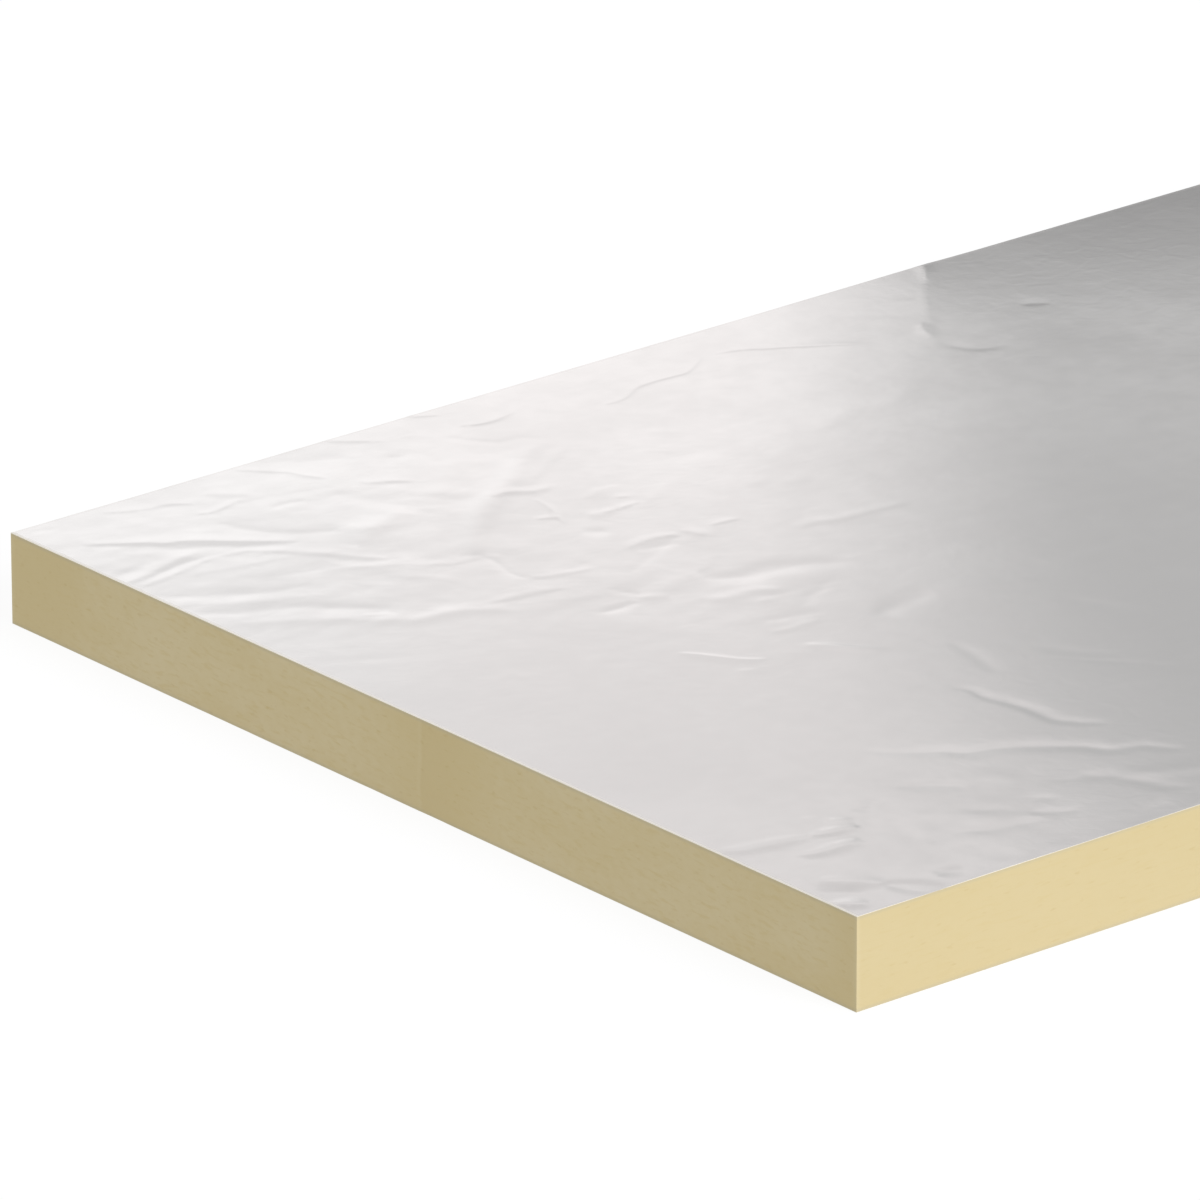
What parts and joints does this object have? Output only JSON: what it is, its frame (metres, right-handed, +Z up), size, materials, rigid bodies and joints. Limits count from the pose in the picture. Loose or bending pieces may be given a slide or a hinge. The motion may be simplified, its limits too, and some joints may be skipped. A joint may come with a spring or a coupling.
{
  "type": "foil-faced polyiso insulation board",
  "caption": "Flat rectangular slab of rigid closed-cell foam with a thin foil facing bonded over each broad face and bare square-cut edges, used as thermal insulation.",
  "frame": {"origin": "the middle of the underside, on the surface that the board lies on", "axes": "+X along the board's length, +Y across its width, +Z up through its thickness"},
  "size_m": [2.4, 1.2, 0.09],
  "materials": {
    "foam": "matte",
    "foil": "satin"
  },
  "bodies": {
    "root": {"foam_core": "foam", "top_facing": "foil", "bottom_facing": "foil"}
  },
  "joints": []
}
